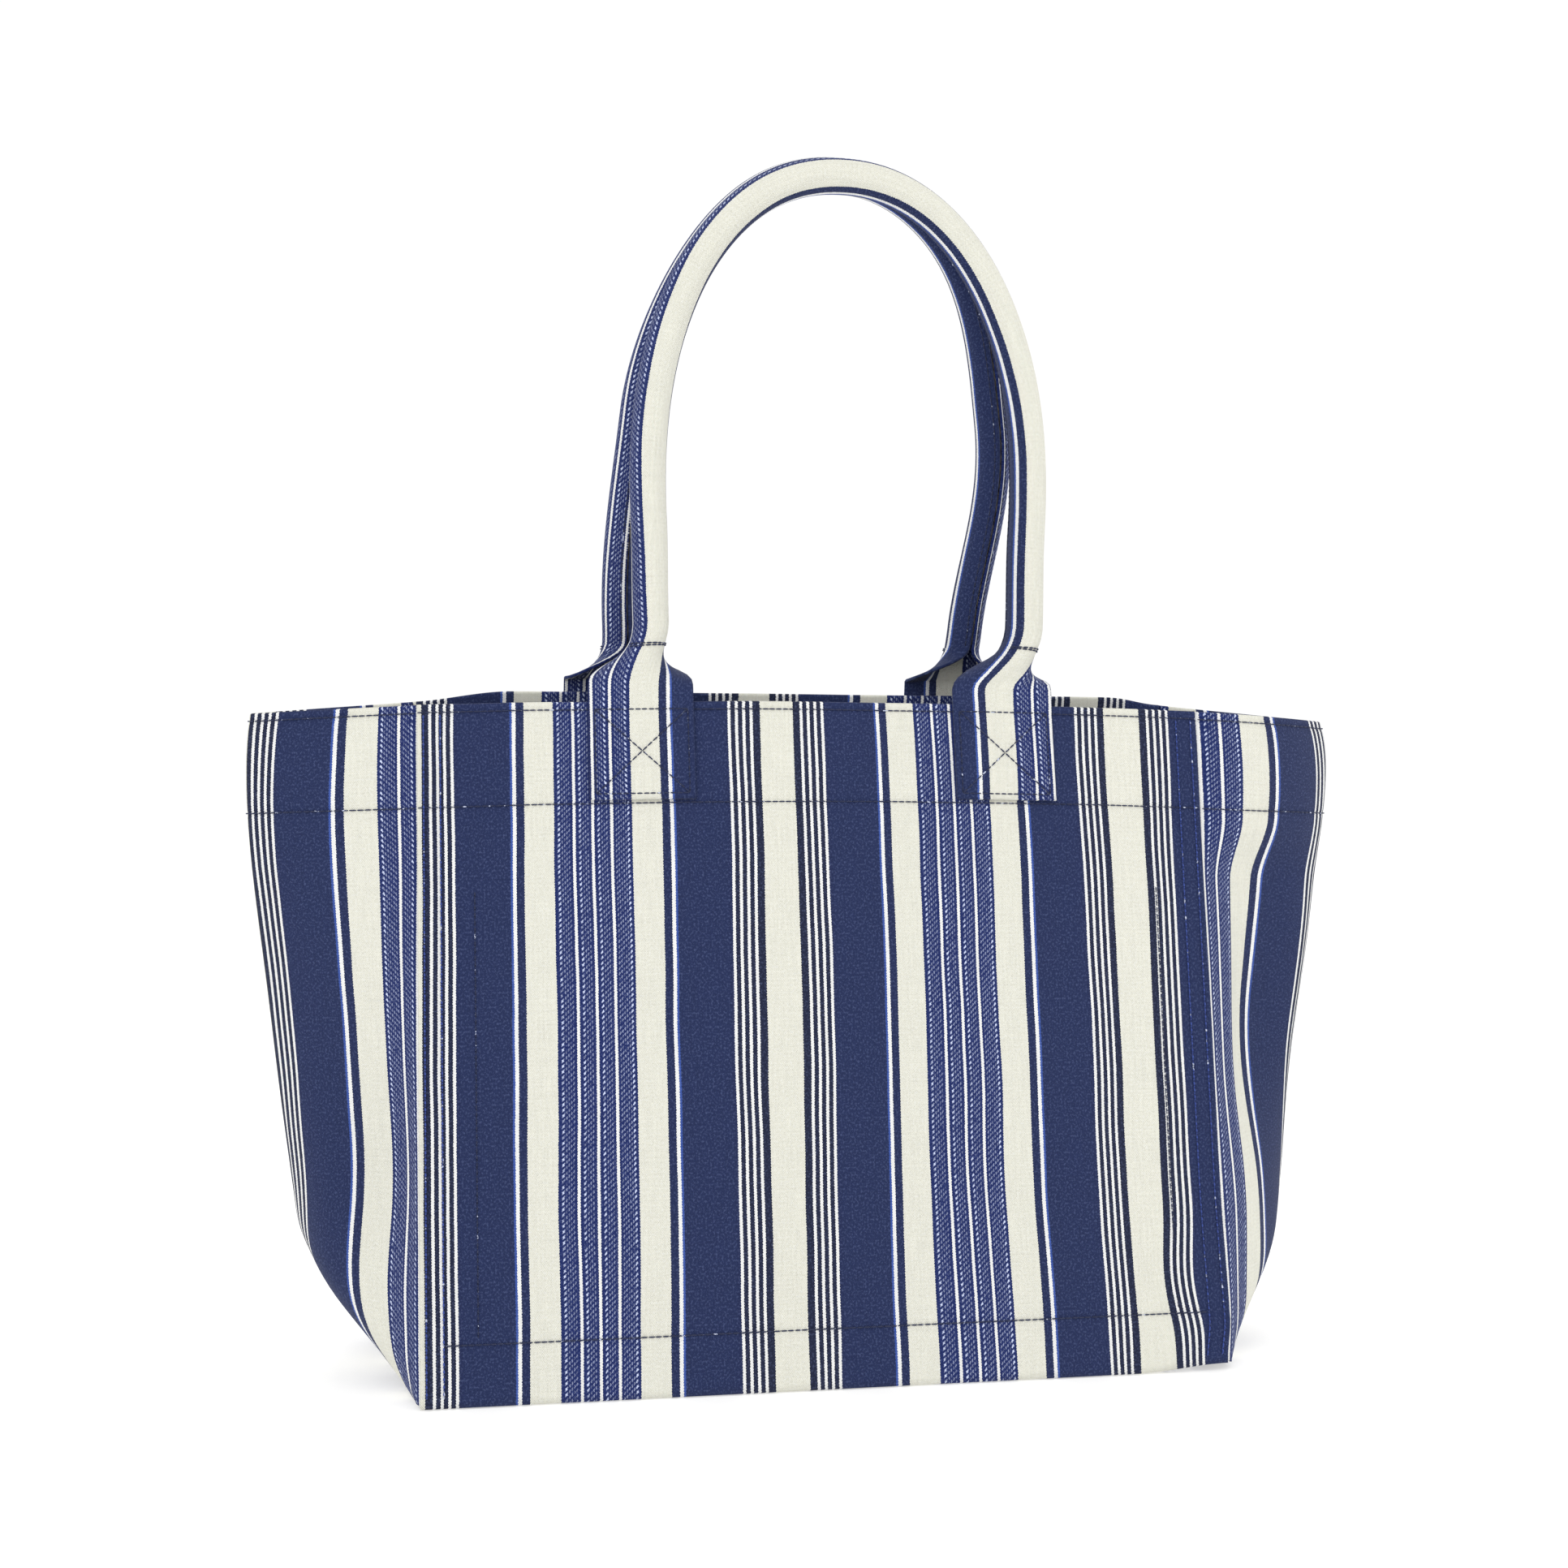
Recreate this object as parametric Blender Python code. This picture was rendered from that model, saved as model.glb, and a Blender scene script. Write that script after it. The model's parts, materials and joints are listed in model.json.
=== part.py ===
"""A boxed canvas tote bag with two rope-cored tube handles.

Metres, +Z up. The origin is the centre of the base, the front panel faces -Y and the side seams stand at
x = -WIDTH / 2 and x = WIDTH / 2. Every sheet of cloth is a grid of points on its middle surface, thickened by a
Solidify modifier. A point on the front or back panel is given as (x, rise, out): across the bag, up the slope of
the panel from its bottom edge, and outwards from the middle of the cloth.
"""

import bmesh
import bpy
from math import cos, pi, radians, sin, sqrt
from mathutils import Matrix, Vector

# Bag
WIDTH = 0.400  # between the side seams
BASE_DEPTH = 0.168
RIM_DEPTH = 0.054  # between the front and back seams at the mouth
PANEL_RISE = 0.334  # height of a panel along its slope
GUSSET_WIDTH = 0.168
CLOTH = 0.0015
LAP = 0.0019  # from one layer of cloth to the next: the cloth and a 0.4 mm gap
LIFT = 0.0010  # the panels' lower edges above the floor
GUSSET_LIFT = 0.0026
HEM = 0.048
SEAM_ALLOWANCE = 0.010
BASE_TURN_UP = 0.030
RIM_SAG = 0.005  # the middle of a gusset's rim hangs below its seams

# Pocket on the inside of the front panel
POCKET_WIDTH = 0.350
POCKET_BOTTOM = 0.032
POCKET_TOP = 0.243

# Handles
STRIP_WIDTH = 0.052
LEG_X = 0.091
TAB_OVER_RIM = 0.001
HINGE_OVER_RIM = 0.006  # clear of the tab, so that the handle can swing down past it
END_GAP = 0.0005
FUNNEL = 0.026
ARCH_X = 0.097
ARCH_START = 0.105
ARCH_TOP = 0.256
ARCH_POWER = 2.3
FLAT_CURL = 0.15  # how far the flat end of the strip is already curled, in radians
FULL_CURL = 2 * pi * 0.955  # the two edges stop short of each other
HANDLE_LEAN = radians(2.0)
CORE_RADIUS = 0.0064
CORE_START = 0.033
ARCH_STEPS = 9
STRIP_STEPS = 12

# Thread
THREAD = 0.0003  # radius
THREAD_OUT = CLOTH / 2 + 0.0003 + THREAD  # from the middle of the cloth to the middle of the thread
SEAM_ROWS = (0.003, 0.011)  # from the seam edge
HEM_ROW = 0.0030  # upper row, below the rim
LOWER_HEM_ROW = HEM + 0.0016
BASE_ROW = 0.028
ROW_END = 0.184  # the long rows stop before the seams
LONGEST_MITRE = 0.0044  # a thread's corner round the edge of a gusset
TAB_BOX_INSET = 0.003
TACK_WIDTH = 0.010
TACK_HEIGHT = 0.003
TACK_RISE = 0.0235

PANEL_LEAN = (BASE_DEPTH - RIM_DEPTH) / 2 / PANEL_RISE  # sine of a panel's slope
RIM_Z = PANEL_RISE * sqrt(1 - PANEL_LEAN**2)
UPRIGHT = RIM_Z / PANEL_RISE
RIM_OUT = sqrt((GUSSET_WIDTH / 2) ** 2 - (RIM_DEPTH / 2) ** 2)  # gusset centre line beyond the seams, at the rim
APEX_RISE = GUSSET_WIDTH / 2  # where the 45 degree creases meet, along the cloth

CANVAS = ((0.30, 0.33, 0.42), 0.9)
POCKET_CLOTH = ((0.78, 0.76, 0.68), 0.9)
HANDLE_CLOTH = ((0.62, 0.60, 0.55), 0.9)
ROPE = ((0.70, 0.64, 0.50), 0.95)
NAVY_THREAD = ((0.02, 0.03, 0.06), 0.6)


def clear_scene():
    for obj in list(bpy.data.objects):
        bpy.data.objects.remove(obj, do_unlink=True)


def finish_object(obj, look):
    """Links the object and gives it a material of its own."""
    colour, roughness = look
    material = bpy.data.materials.new(obj.name)
    material.use_nodes = True
    shader = material.node_tree.nodes["Principled BSDF"]
    shader.inputs["Base Color"].default_value = (*colour, 1)
    shader.inputs["Roughness"].default_value = roughness
    obj.data.materials.append(material)
    bpy.context.scene.collection.objects.link(obj)
    return obj


def cloth_object(name, mesh, look, thickness=CLOTH):
    """Thickens a middle surface to a closed solid."""
    bm = bmesh.new()
    bm.from_mesh(mesh)
    bmesh.ops.triangulate(bm, faces=bm.faces)
    bmesh.ops.recalc_face_normals(bm, faces=bm.faces)
    bm.to_mesh(mesh)
    bm.free()
    obj = bpy.data.objects.new(name, mesh)
    solidify = obj.modifiers.new("cloth thickness", "SOLIDIFY")
    solidify.thickness = thickness
    solidify.offset = 0
    solidify.use_even_offset = True
    return finish_object(obj, look)


def grid_mesh(name, *grids):
    """One mesh from several grids of points. Grids that share points are joined along them."""
    places = {}
    faces = []
    for rows in grids:
        index = [[places.setdefault(tuple(round(c, 7) for c in point), len(places)) for point in row] for row in rows]
        for low, high in zip(index, index[1:]):
            for i in range(len(low) - 1):
                faces.append((low[i], low[i + 1], high[i + 1], high[i]))
    mesh = bpy.data.meshes.new(name)
    mesh.from_pydata(list(places), [], faces)
    mesh.update()
    return mesh


def panel_point(side, x, rise, out=0.0):
    """A point on the front (side -1) or back (side 1) panel."""
    y = BASE_DEPTH / 2 - rise * PANEL_LEAN + out * UPRIGHT
    return Vector((x, side * y, rise * UPRIGHT + out * PANEL_LEAN))


def panel(name, side):
    """A panel and its hem, which turns over at the rim and runs down inside, between the seam allowances."""
    full = WIDTH / 2
    inner = full - SEAM_ALLOWANCE - 0.002
    columns = (-full, -inner, 0, inner, full)
    sheet = [[panel_point(side, x, rise) for x in columns] for rise in (LIFT, PANEL_RISE / 2, PANEL_RISE)]
    hem = [
        [panel_point(side, x, PANEL_RISE - down, -across) for x in columns[1:-1]]
        for down, across in ((0, 0), (0, LAP), (HEM, LAP))
    ]
    cloth_object(name, grid_mesh(name, sheet, hem), CANVAS)


def base_panel():
    """The base and its front and back edges, which turn up inside the panels."""
    edge = WIDTH / 2 - 0.0012
    turned = WIDTH / 2 - SEAM_ALLOWANCE - 0.002
    depth = BASE_DEPTH / 2 - CLOTH + 0.0003
    flat = [[Vector((x, y, CLOTH / 2)) for x in (-edge, edge)] for y in (-depth, depth)]
    base = cloth_object("base_panel", grid_mesh("base_panel", flat), CANVAS)
    for word, side in (("front", -1), ("back", 1)):
        rises = (CLOTH / 2, BASE_TURN_UP)
        turn_up = [[panel_point(side, x, rise, -LAP) for x in (-turned, turned)] for rise in rises]
        helper = cloth_object(f"{word}_turn_up", grid_mesh(f"{word}_turn_up", turn_up), CANVAS)
        helper.hide_render = True
        helper.display_type = "WIRE"
        join = base.modifiers.new(f"{word} turn-up", "BOOLEAN")
        join.operation = "UNION"
        join.object = helper


def apex():
    """How far out and how high the two creases of a gusset meet."""
    along = -(BASE_DEPTH / 2 - APEX_RISE * PANEL_LEAN)
    height = APEX_RISE * UPRIGHT
    high = (APEX_RISE**2 + along**2 + height**2 - (GUSSET_WIDTH / 2) ** 2) / (2 * height)
    return sqrt(APEX_RISE**2 - high**2), high


def gusset_outline(hand, rise):
    """Half of a gusset's outline at one height, from its front seam to its centre line. hand is -1 for the left."""
    apex_out, apex_z = apex()
    seam = panel_point(-1, hand * WIDTH / 2, rise, -LAP)
    z = rise * UPRIGHT
    if z <= apex_z:
        share = z / apex_z
        out = apex_out * share
        fold = Vector((hand * (WIDTH / 2 + out), -(BASE_DEPTH / 2 - LAP) * (1 - share), z))
    else:
        share = (z - apex_z) / (RIM_Z - apex_z)
        out = apex_out + (RIM_OUT - apex_out) * share
        z -= RIM_SAG * share
        fold = seam.lerp(Vector((hand * (WIDTH / 2 + out), 0, z)), 0.5)
    centre = Vector((hand * (WIDTH / 2 + out), 0, z))
    return [seam, seam.lerp(fold, 0.3), fold, centre]


def closed_outline(hand, rise):
    """The whole outline of a gusset at one height, front seam to back seam."""
    half = gusset_outline(hand, rise)
    return half + [Vector((p.x, -p.y, p.z)) for p in reversed(half[:-1])]


def offset_outline(points, distance):
    """Moves a line of points sideways by this distance, seen from above, and mitres its corners."""
    moved = []
    for i, point in enumerate(points):
        before = points[max(i - 1, 0)]
        after = points[min(i + 1, len(points) - 1)]
        ways = [Vector((b.x - a.x, b.y - a.y)).normalized() for a, b in ((before, point), (point, after)) if a != b]
        sides = [Vector((-way.y, way.x)) for way in ways]
        mitre = (sides[0] + sides[-1]).normalized()
        length = min(abs(distance) / mitre.dot(sides[0]), LONGEST_MITRE)
        step = mitre * (length if distance > 0 else -length)
        moved.append(point + Vector((step.x, step.y, 0)))
    return moved


def gusset(name, hand):
    """A gusset with its seam allowances behind the panels and its hem turned in at the rim."""
    apex_rise = apex()[1] / UPRIGHT
    below_hem = PANEL_RISE - LOWER_HEM_ROW
    rises = (GUSSET_LIFT, apex_rise / 2, apex_rise, PANEL_RISE * 0.4, PANEL_RISE * 0.6, below_hem, PANEL_RISE)
    rows = []
    for rise in rises:
        outline = closed_outline(hand, rise)
        laps = [panel_point(side, hand * (WIDTH / 2 - SEAM_ALLOWANCE), rise, -LAP) for side in (-1, 1)]
        rows.append([laps[0], *outline, laps[1]])
    rim = closed_outline(hand, PANEL_RISE)[1:-1]
    turned = offset_outline(rim, hand * LAP)
    below = offset_outline(closed_outline(hand, PANEL_RISE - HEM)[1:-1], hand * LAP)
    cloth_object(name, grid_mesh(name, rows, [rim, turned, below]), CANVAS)


def inner_pocket():
    half = POCKET_WIDTH / 2
    rows = [[panel_point(-1, x, rise, -LAP) for x in (-half, 0, half)] for rise in (POCKET_BOTTOM, POCKET_TOP)]
    cloth_object("inner_pocket", grid_mesh("inner_pocket", rows), POCKET_CLOTH)


def handle_tab(name, side, x):
    half = STRIP_WIDTH / 2
    rises = (PANEL_RISE - HEM, PANEL_RISE + TAB_OVER_RIM)
    rows = [[panel_point(side, x + across, rise, LAP) for across in (-half, half)] for rise in rises]
    cloth_object(name, grid_mesh(name, rows), HANDLE_CLOTH)


def tab_box_stitch(name, side, x):
    """The sewn rectangle and cross that hold a tab, as one flat band."""
    wide = STRIP_WIDTH / 2 - TAB_BOX_INSET
    low = PANEL_RISE - HEM + TAB_BOX_INSET
    high = PANEL_RISE - HEM_ROW
    tall = (high - low) / 2
    middle = (high + low) / 2
    out = LAP + THREAD_OUT
    corners = [(-wide, -tall), (wide, -tall), (wide, tall), (-wide, tall)]
    slack = 0.0016  # from a corner of the box to the nearest corner of the holes beside it
    band = THREAD * 2

    def place(across, up):
        return panel_point(side, x + across, middle + up, out)

    points = [place(a, u) for a, u in corners]
    for i in range(4):
        a, b = corners[i], corners[(i + 1) % 4]
        along = Vector((b[0] - a[0], b[1] - a[1])).normalized()
        inward = Vector((-along.y, along.x))
        points.append(place(*(Vector(a) + along * slack + inward * band)))
        points.append(place(*(Vector(b) - along * slack + inward * band)))
        points.append(place(*(-inward * 2 * band)))
    faces = []
    for i in range(4):
        first, last, centre = 4 + 3 * i, 5 + 3 * i, 6 + 3 * i
        after = 4 + 3 * ((i + 1) % 4)
        faces.append((i, (i + 1) % 4, last, first))
        faces.append(((i + 1) % 4, after, last))
        faces.append((last, after, after + 2, centre))
    faces.append((6, 9, 12, 15))
    mesh = bpy.data.meshes.new(name)
    mesh.from_pydata(points, [], faces)
    cloth_object(name, mesh, NAVY_THREAD, 2 * THREAD)


def thread(name, points):
    """A row of stitching as one continuous thread."""
    curve = bpy.data.curves.new(name, "CURVE")
    curve.dimensions = "3D"
    curve.bevel_depth = THREAD
    curve.bevel_resolution = 1
    curve.use_fill_caps = True
    spline = curve.splines.new("POLY")
    spline.points.add(len(points) - 1)
    for spot, point in zip(spline.points, points):
        spot.co = (*point, 1)
    finish_object(bpy.data.objects.new(name, curve), NAVY_THREAD)


def panel_threads(word, side):
    """The rows of stitching that lie on the front or the back panel."""
    for hand, hand_word in ((-1, "left"), (1, "right")):
        outer, inner = (hand * (WIDTH / 2 - row) for row in SEAM_ROWS)
        low, high = 0.006, PANEL_RISE - 0.006
        route = ((outer, high), (outer, low), (inner, low), (inner, high))
        thread(f"{word}_{hand_word}_seam_thread", [panel_point(side, x, rise, THREAD_OUT) for x, rise in route])
    between = LEG_X - STRIP_WIDTH / 2 - 0.001
    rows = (
        (f"{word}_upper_hem_thread", PANEL_RISE - HEM_ROW, between),
        (f"{word}_lower_hem_thread", PANEL_RISE - LOWER_HEM_ROW, ROW_END),
        (f"{word}_base_thread", BASE_ROW, ROW_END),
    )
    for name, rise, reach in rows:
        thread(name, [panel_point(side, x, rise, THREAD_OUT) for x in (-reach, 0, reach)])


def gusset_threads(word, hand):
    """The two hem rows on a gusset. The upper one runs on round the corners to the nearest tabs."""
    beside_tab = hand * (LEG_X + STRIP_WIDTH / 2 + 0.001)
    rise = PANEL_RISE - HEM_ROW
    round_corner = closed_outline(hand, rise)[2:-2]
    front = [panel_point(-1, x, rise) for x in (beside_tab, hand * WIDTH / 2)]
    back = [panel_point(1, x, rise) for x in (hand * WIDTH / 2, beside_tab)]
    thread(f"{word}_upper_hem_thread", offset_outline(front + round_corner + back, -hand * THREAD_OUT * 1.5))
    lower = offset_outline(closed_outline(hand, PANEL_RISE - LOWER_HEM_ROW), -hand * THREAD_OUT)
    first = lower[0].lerp(lower[1], 0.4)
    last = lower[-1].lerp(lower[-2], 0.4)
    thread(f"{word}_lower_hem_thread", [first, *lower[1:-1], last])


def pocket_thread():
    half = POCKET_WIDTH / 2 - 0.002
    route = ((-half, POCKET_TOP), (-half, POCKET_BOTTOM + 0.002), (half, POCKET_BOTTOM + 0.002), (half, POCKET_TOP))
    thread("pocket_thread", [panel_point(-1, x, rise, THREAD_OUT) for x, rise in route])


def smooth(share):
    share = min(max(share, 0), 1)
    return share * share * (3 - 2 * share)


def arch_route(start):
    """The handle's line in its own plane, as (x, up) from the left leg to the right. It starts this far up a leg."""
    leg = [start] + [up for up in (0.007, 0.014, 0.020, FUNNEL, 0.045, 0.070) if up > start + 0.004]
    half = [(-LEG_X - (ARCH_X - LEG_X) * smooth(up / ARCH_START), up) for up in leg]
    for i in range(ARCH_STEPS + 1):
        turn = pi / 2 * i / ARCH_STEPS
        x = -ARCH_X * cos(turn) ** (2 / ARCH_POWER)
        up = ARCH_START + (ARCH_TOP - ARCH_START) * sin(turn) ** (2 / ARCH_POWER)
        half.append((x, up))
    return half + [(-x, up) for x, up in reversed(half[:-1])]


def handle_frame(side):
    """From a handle's own plane, (x, up, out), to the bag: its feet are on the hinge line at the rim."""
    hinge = panel_point(side, 0, PANEL_RISE + HINGE_OVER_RIM, LAP)
    up = Vector((0, -side * sin(HANDLE_LEAN), cos(HANDLE_LEAN)))
    out = Vector((0, side * cos(HANDLE_LEAN), sin(HANDLE_LEAN)))
    return Matrix((Vector((1, 0, 0)), up, out)).transposed(), hinge


def strip_point(side, spot, before, after, across, out=0.0):
    """A point of the handle strip: it lies flat at the tabs and curls to a tube above them, open at the back."""
    frame, hinge = handle_frame(side)
    forward = Vector((after[0] - before[0], after[1] - before[1])).normalized()
    sideways = Vector((forward.y, -forward.x))
    curl = FLAT_CURL + (FULL_CURL - FLAT_CURL) * smooth(spot[1] / FUNNEL)
    radius = STRIP_WIDTH / curl
    turn = across / radius
    reach = (radius + out) * sin(turn)
    depth = out - (radius + out) * (1 - cos(turn))
    flat = Vector((spot[0] + sideways.x * reach, spot[1] + sideways.y * reach, depth))
    return hinge + frame @ flat


def strip_rows(side, route, half, steps, out=0.0):
    rows = []
    for i, spot in enumerate(route):
        before, after = route[max(i - 1, 0)], route[min(i + 1, len(route) - 1)]
        across = [half * (2 * j / steps - 1) for j in range(steps + 1)]
        rows.append([strip_point(side, spot, before, after, u, out) for u in across])
    return rows


def hang(obj, hinge):
    """Makes the object swing with an empty on its hinge, and leaves it where it is."""
    obj.parent = hinge
    obj.matrix_parent_inverse = Matrix.Translation(-hinge.location)


def handle(word, side):
    """A handle: its cover, its rope core and the bar tack at the foot of each leg."""
    frame, foot = handle_frame(side)
    hinge = bpy.data.objects.new(f"{word}_handle_hinge", None)
    hinge.location = foot
    hinge.empty_display_size = 0.02
    bpy.context.scene.collection.objects.link(hinge)

    cover = f"{word}_handle_cover"
    rows = strip_rows(side, arch_route(END_GAP), STRIP_WIDTH / 2, STRIP_STEPS)
    hang(cloth_object(cover, grid_mesh(cover, rows), HANDLE_CLOTH), hinge)

    back = STRIP_WIDTH / FULL_CURL
    core = bpy.data.curves.new(f"{word}_handle_core", "CURVE")
    core.dimensions = "3D"
    core.bevel_depth = CORE_RADIUS
    core.bevel_resolution = 2
    core.use_fill_caps = True
    route = arch_route(CORE_START)
    spline = core.splines.new("POLY")
    spline.points.add(len(route) - 1)
    for spot, (x, up) in zip(spline.points, route):
        spot.co = (*(foot + frame @ Vector((x, up, -back))), 1)
    hang(finish_object(bpy.data.objects.new(core.name, core), ROPE), hinge)

    for hand, hand_word in ((-1, "left"), (1, "right")):
        name = f"{word}_{hand_word}_bar_tack"
        x = hand * (LEG_X + (ARCH_X - LEG_X) * smooth(TACK_RISE / ARCH_START))
        spots = [(x, TACK_RISE - TACK_HEIGHT / 2), (x, TACK_RISE + TACK_HEIGHT / 2)]
        tack = strip_rows(side, spots, TACK_WIDTH / 2, 4, CLOTH / 2 + 0.0003 + THREAD)
        hang(cloth_object(name, grid_mesh(name, tack), NAVY_THREAD, 2 * THREAD), hinge)


def main():
    clear_scene()
    base_panel()
    inner_pocket()
    pocket_thread()
    for word, hand in (("left", -1), ("right", 1)):
        gusset(f"{word}_gusset", hand)
        gusset_threads(word, hand)
    for word, side in (("front", -1), ("back", 1)):
        panel(f"{word}_panel", side)
        panel_threads(word, side)
        handle(word, side)
        for hand_word, hand in (("left", -1), ("right", 1)):
            handle_tab(f"{word}_{hand_word}_tab", side, hand * LEG_X)
            tab_box_stitch(f"{word}_{hand_word}_box_stitch", side, hand * LEG_X)


main()
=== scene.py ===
"""The looks of a boxed canvas tote bag: striped canvas, turned hems, stitching and two rope-cored handles.

Every sheet of cloth is a fine grid of points on its middle surface. A surface is a function of two lengths
along the cloth, in metres, and of the distance out from its middle, so stitches, hems and tabs all follow the
same waves. The grid's UV coordinates are those two lengths too, so a striped material fits any sheet.

Where a value differs between sides, -1 is the front or the left and 1 is the back or the right.
"""

import json
import random
from bisect import bisect_right
from functools import lru_cache, partial
from math import cos, exp, hypot, pi, radians, sin, sqrt

import bmesh
import bpy
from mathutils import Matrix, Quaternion, Vector, noise


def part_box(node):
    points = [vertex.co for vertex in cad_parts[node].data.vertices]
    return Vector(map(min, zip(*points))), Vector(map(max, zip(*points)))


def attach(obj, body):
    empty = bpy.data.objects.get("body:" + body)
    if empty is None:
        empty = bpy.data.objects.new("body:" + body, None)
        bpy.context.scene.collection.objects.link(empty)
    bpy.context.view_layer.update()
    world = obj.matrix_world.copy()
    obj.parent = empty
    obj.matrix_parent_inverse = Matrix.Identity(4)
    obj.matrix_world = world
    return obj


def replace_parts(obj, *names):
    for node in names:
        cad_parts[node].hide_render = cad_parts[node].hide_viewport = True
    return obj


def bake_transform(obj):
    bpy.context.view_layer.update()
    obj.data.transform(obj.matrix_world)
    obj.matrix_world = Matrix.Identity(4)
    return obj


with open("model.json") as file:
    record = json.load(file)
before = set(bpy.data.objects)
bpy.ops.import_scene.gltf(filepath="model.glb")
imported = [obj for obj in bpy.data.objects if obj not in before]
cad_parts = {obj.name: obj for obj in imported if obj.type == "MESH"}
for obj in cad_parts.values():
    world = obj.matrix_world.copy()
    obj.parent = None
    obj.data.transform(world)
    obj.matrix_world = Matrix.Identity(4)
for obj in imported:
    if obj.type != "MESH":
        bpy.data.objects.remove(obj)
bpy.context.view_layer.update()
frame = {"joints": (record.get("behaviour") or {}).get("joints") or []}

SIDES = (("front", -1), ("back", 1))
HANDS = (("left", -1), ("right", 1))

# Bag, the same sizes as the CAD
HALF_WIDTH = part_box("front_panel")[1].x
BASE_DEPTH = 0.168
RIM_DEPTH = 0.054
PANEL_RISE = 0.334
GUSSET_WIDTH = 0.168
HEM = 0.048
SEAM_ALLOWANCE = 0.010
BASE_TURN_UP = 0.030
PANEL_LEAN = (BASE_DEPTH - RIM_DEPTH) / 2 / PANEL_RISE
UPRIGHT = sqrt(1 - PANEL_LEAN**2)
RIM_Z = PANEL_RISE * UPRIGHT
RIM_OUT = sqrt((GUSSET_WIDTH / 2) ** 2 - (RIM_DEPTH / 2) ** 2)
APEX_RISE = GUSSET_WIDTH / 2

# Cloth
CANVAS = 0.0010
LAP = 0.0014  # between the middles of two layers that lie on each other
STRIP_CLOTH = 0.0015
LIFT = 0.0006  # the panels' lower edges, above the floor
GUSSET_LIFT = 0.0022
RIM_CROWN = 0.0005
RIM_DROP = 0.0025  # the rim's ends, below its middle
RIM_SAG = 0.005
BACK_LIFT = 0.005  # the back rim stands this much higher
LIFT_ENDS = {-1: 0.15, 1: 0.17}  # how far from the middle it starts to fall towards the seam
SEAM_LIFTS = {-1: 0.4, 1: 0.75}  # and the share of the lift that is left at the seam
CORNER_LIFT = 0.0032
SEAM_PINCH = 0.00025  # how deep a row of stitches pulls the cloth in
PINCH_WIDTH = 0.0016
PINCH_POINTS = (-1.4, -0.7, 0, 0.7, 1.4)  # grid points around a row of stitches, in pinch widths
BELLY = 0.0045  # how far the panels stand out at their middle
WAVES = ((0.0030, 0.6, 3, 0.11), (0.0009, 1, 9, 0.035))  # on the panels: (height, stretch, seed, length)
SEAM_DRAW = 0.0022  # how far the right seams are drawn in from a third of their height up
FOOT_DRAW = 0.0028  # and at their feet
MIDDLE_DRIFT = 0.0018  # how far the front's stripes lie to the right: at the middle,
LOW_DRIFT = 0.0036  # low down on the right,
SEAM_DRIFT = 0.0042  # and beside the right seam
BASE_BEND = 0.002  # the base's edges turn up within this distance
BASE_INSET = 0.002  # between the base and the seam allowances

# Soft shapes of the gussets. Heights run from 0 at the floor to 1 at the rim.
FOLD_SOFTNESS = 0.0045
LOW_SOFTNESS = {-1: (0.0, 0.35, 0.006), 1: (0.50, 0.35, 0.009)}  # added to it: (height, width, most)
APEX_SOFTNESS = 0.010
HOLLOWS = {-1: (0.32, 0.18, 0.0115), 1: (0.52, 0.22, 0.0115)}  # beside the seams: (height, width, deepest)
MIDDLE_BOW = 0.0088  # how far the middle fold stands out
NORMAL_STEP = 0.0015

# Distances between the points of the sheets' grids
GRID = 0.004
GUSSET_GRID = 0.0035
FOLD_GRID = 0.001  # across a gusset's middle fold
FOLD_REACH = 0.009
HEM_GRID = 0.006
POCKET_GRID = 0.008
BASE_GRID = 0.010
STRIP_GRID = 0.0013
FUNNEL_GRID = 0.0025
RIM_STEPS = 5
WELD = 0.00005

# Stripes: the cloth repeats in mirror image every HALF_REPEAT
HALF_REPEAT = 0.0906
PANEL_CUT = 0.0059  # from the middle of a cream stripe to the left seam
GUSSET_CUTS = {-1: 0.0, 1: 0.0016}  # from the front seam to the middle of a blue group
STRIP_CUT = HALF_REPEAT + 0.001  # the handle strip's outer edge
WARP = 0.0009
WEFT = 0.0013

# Pocket inside the front panel
POCKET_HALF = 0.175
POCKET_BOTTOM = 0.032
POCKET_TOP = 0.243
POCKET_ROW = 0.002

# Stitching
STITCH = 0.0034
STITCH_GAP = 0.0003
STITCH_SHIFT = 0.04  # the most that a stitch lies out of step, as a share of its length
THREAD = 0.00035
SEAM_THREAD = 0.00043
SEAM_ROWS = (0.003, 0.011)
SEAM_LOW = 0.005
SEAM_HIGH = PANEL_RISE - 0.004
HEM_ROW = 0.003
LOWER_HEM_ROW = HEM + 0.0016
HEM_HEIGHTS = {"upper": PANEL_RISE - HEM_ROW, "lower": PANEL_RISE - LOWER_HEM_ROW}
BASE_ROW = 0.029
BASE_ROW_END = 0.012  # from the seam
GUSSET_ROW_END = 0.001

# Handles
STRIP_HALF = 0.026
LEG_X = 0.091
HINGE_OVER_RIM = 0.006
TAB_LENGTH = HEM + HINGE_OVER_RIM  # from the tab's lower edge to the hinge
TAB_OUT = 0.0016
TAB_ROW = 0.003
TAB_PINCH = 0.0004
TAB_BLEND = 0.010  # the strip leaves the panel along this length above the hinge
FUNNEL = 0.026
ARCH_X = 0.097
ARCH_START = 0.105
ARCH_TOP = 0.262
ARCH_POWER = 2.12
HANDLE_LEAN = radians(2.0)
TUBE = 0.0083
TUBE_TURN = 2.55  # how far round each edge goes before it runs straight back to meet the other
TUBE_GAP = 0.0009  # half of the gap that the two edges leave
TWISTS = {-1: (radians(20), radians(-44)), 1: (radians(-16), radians(12))}  # (left foot, right foot)
SWAYS = {-1: 0.0105, 1: 0.003}  # how far each arch leans to the right of its tabs
SLANTS = {-1: 0.0, 1: 0.0105}  # how much further it leans by its middle height
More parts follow.
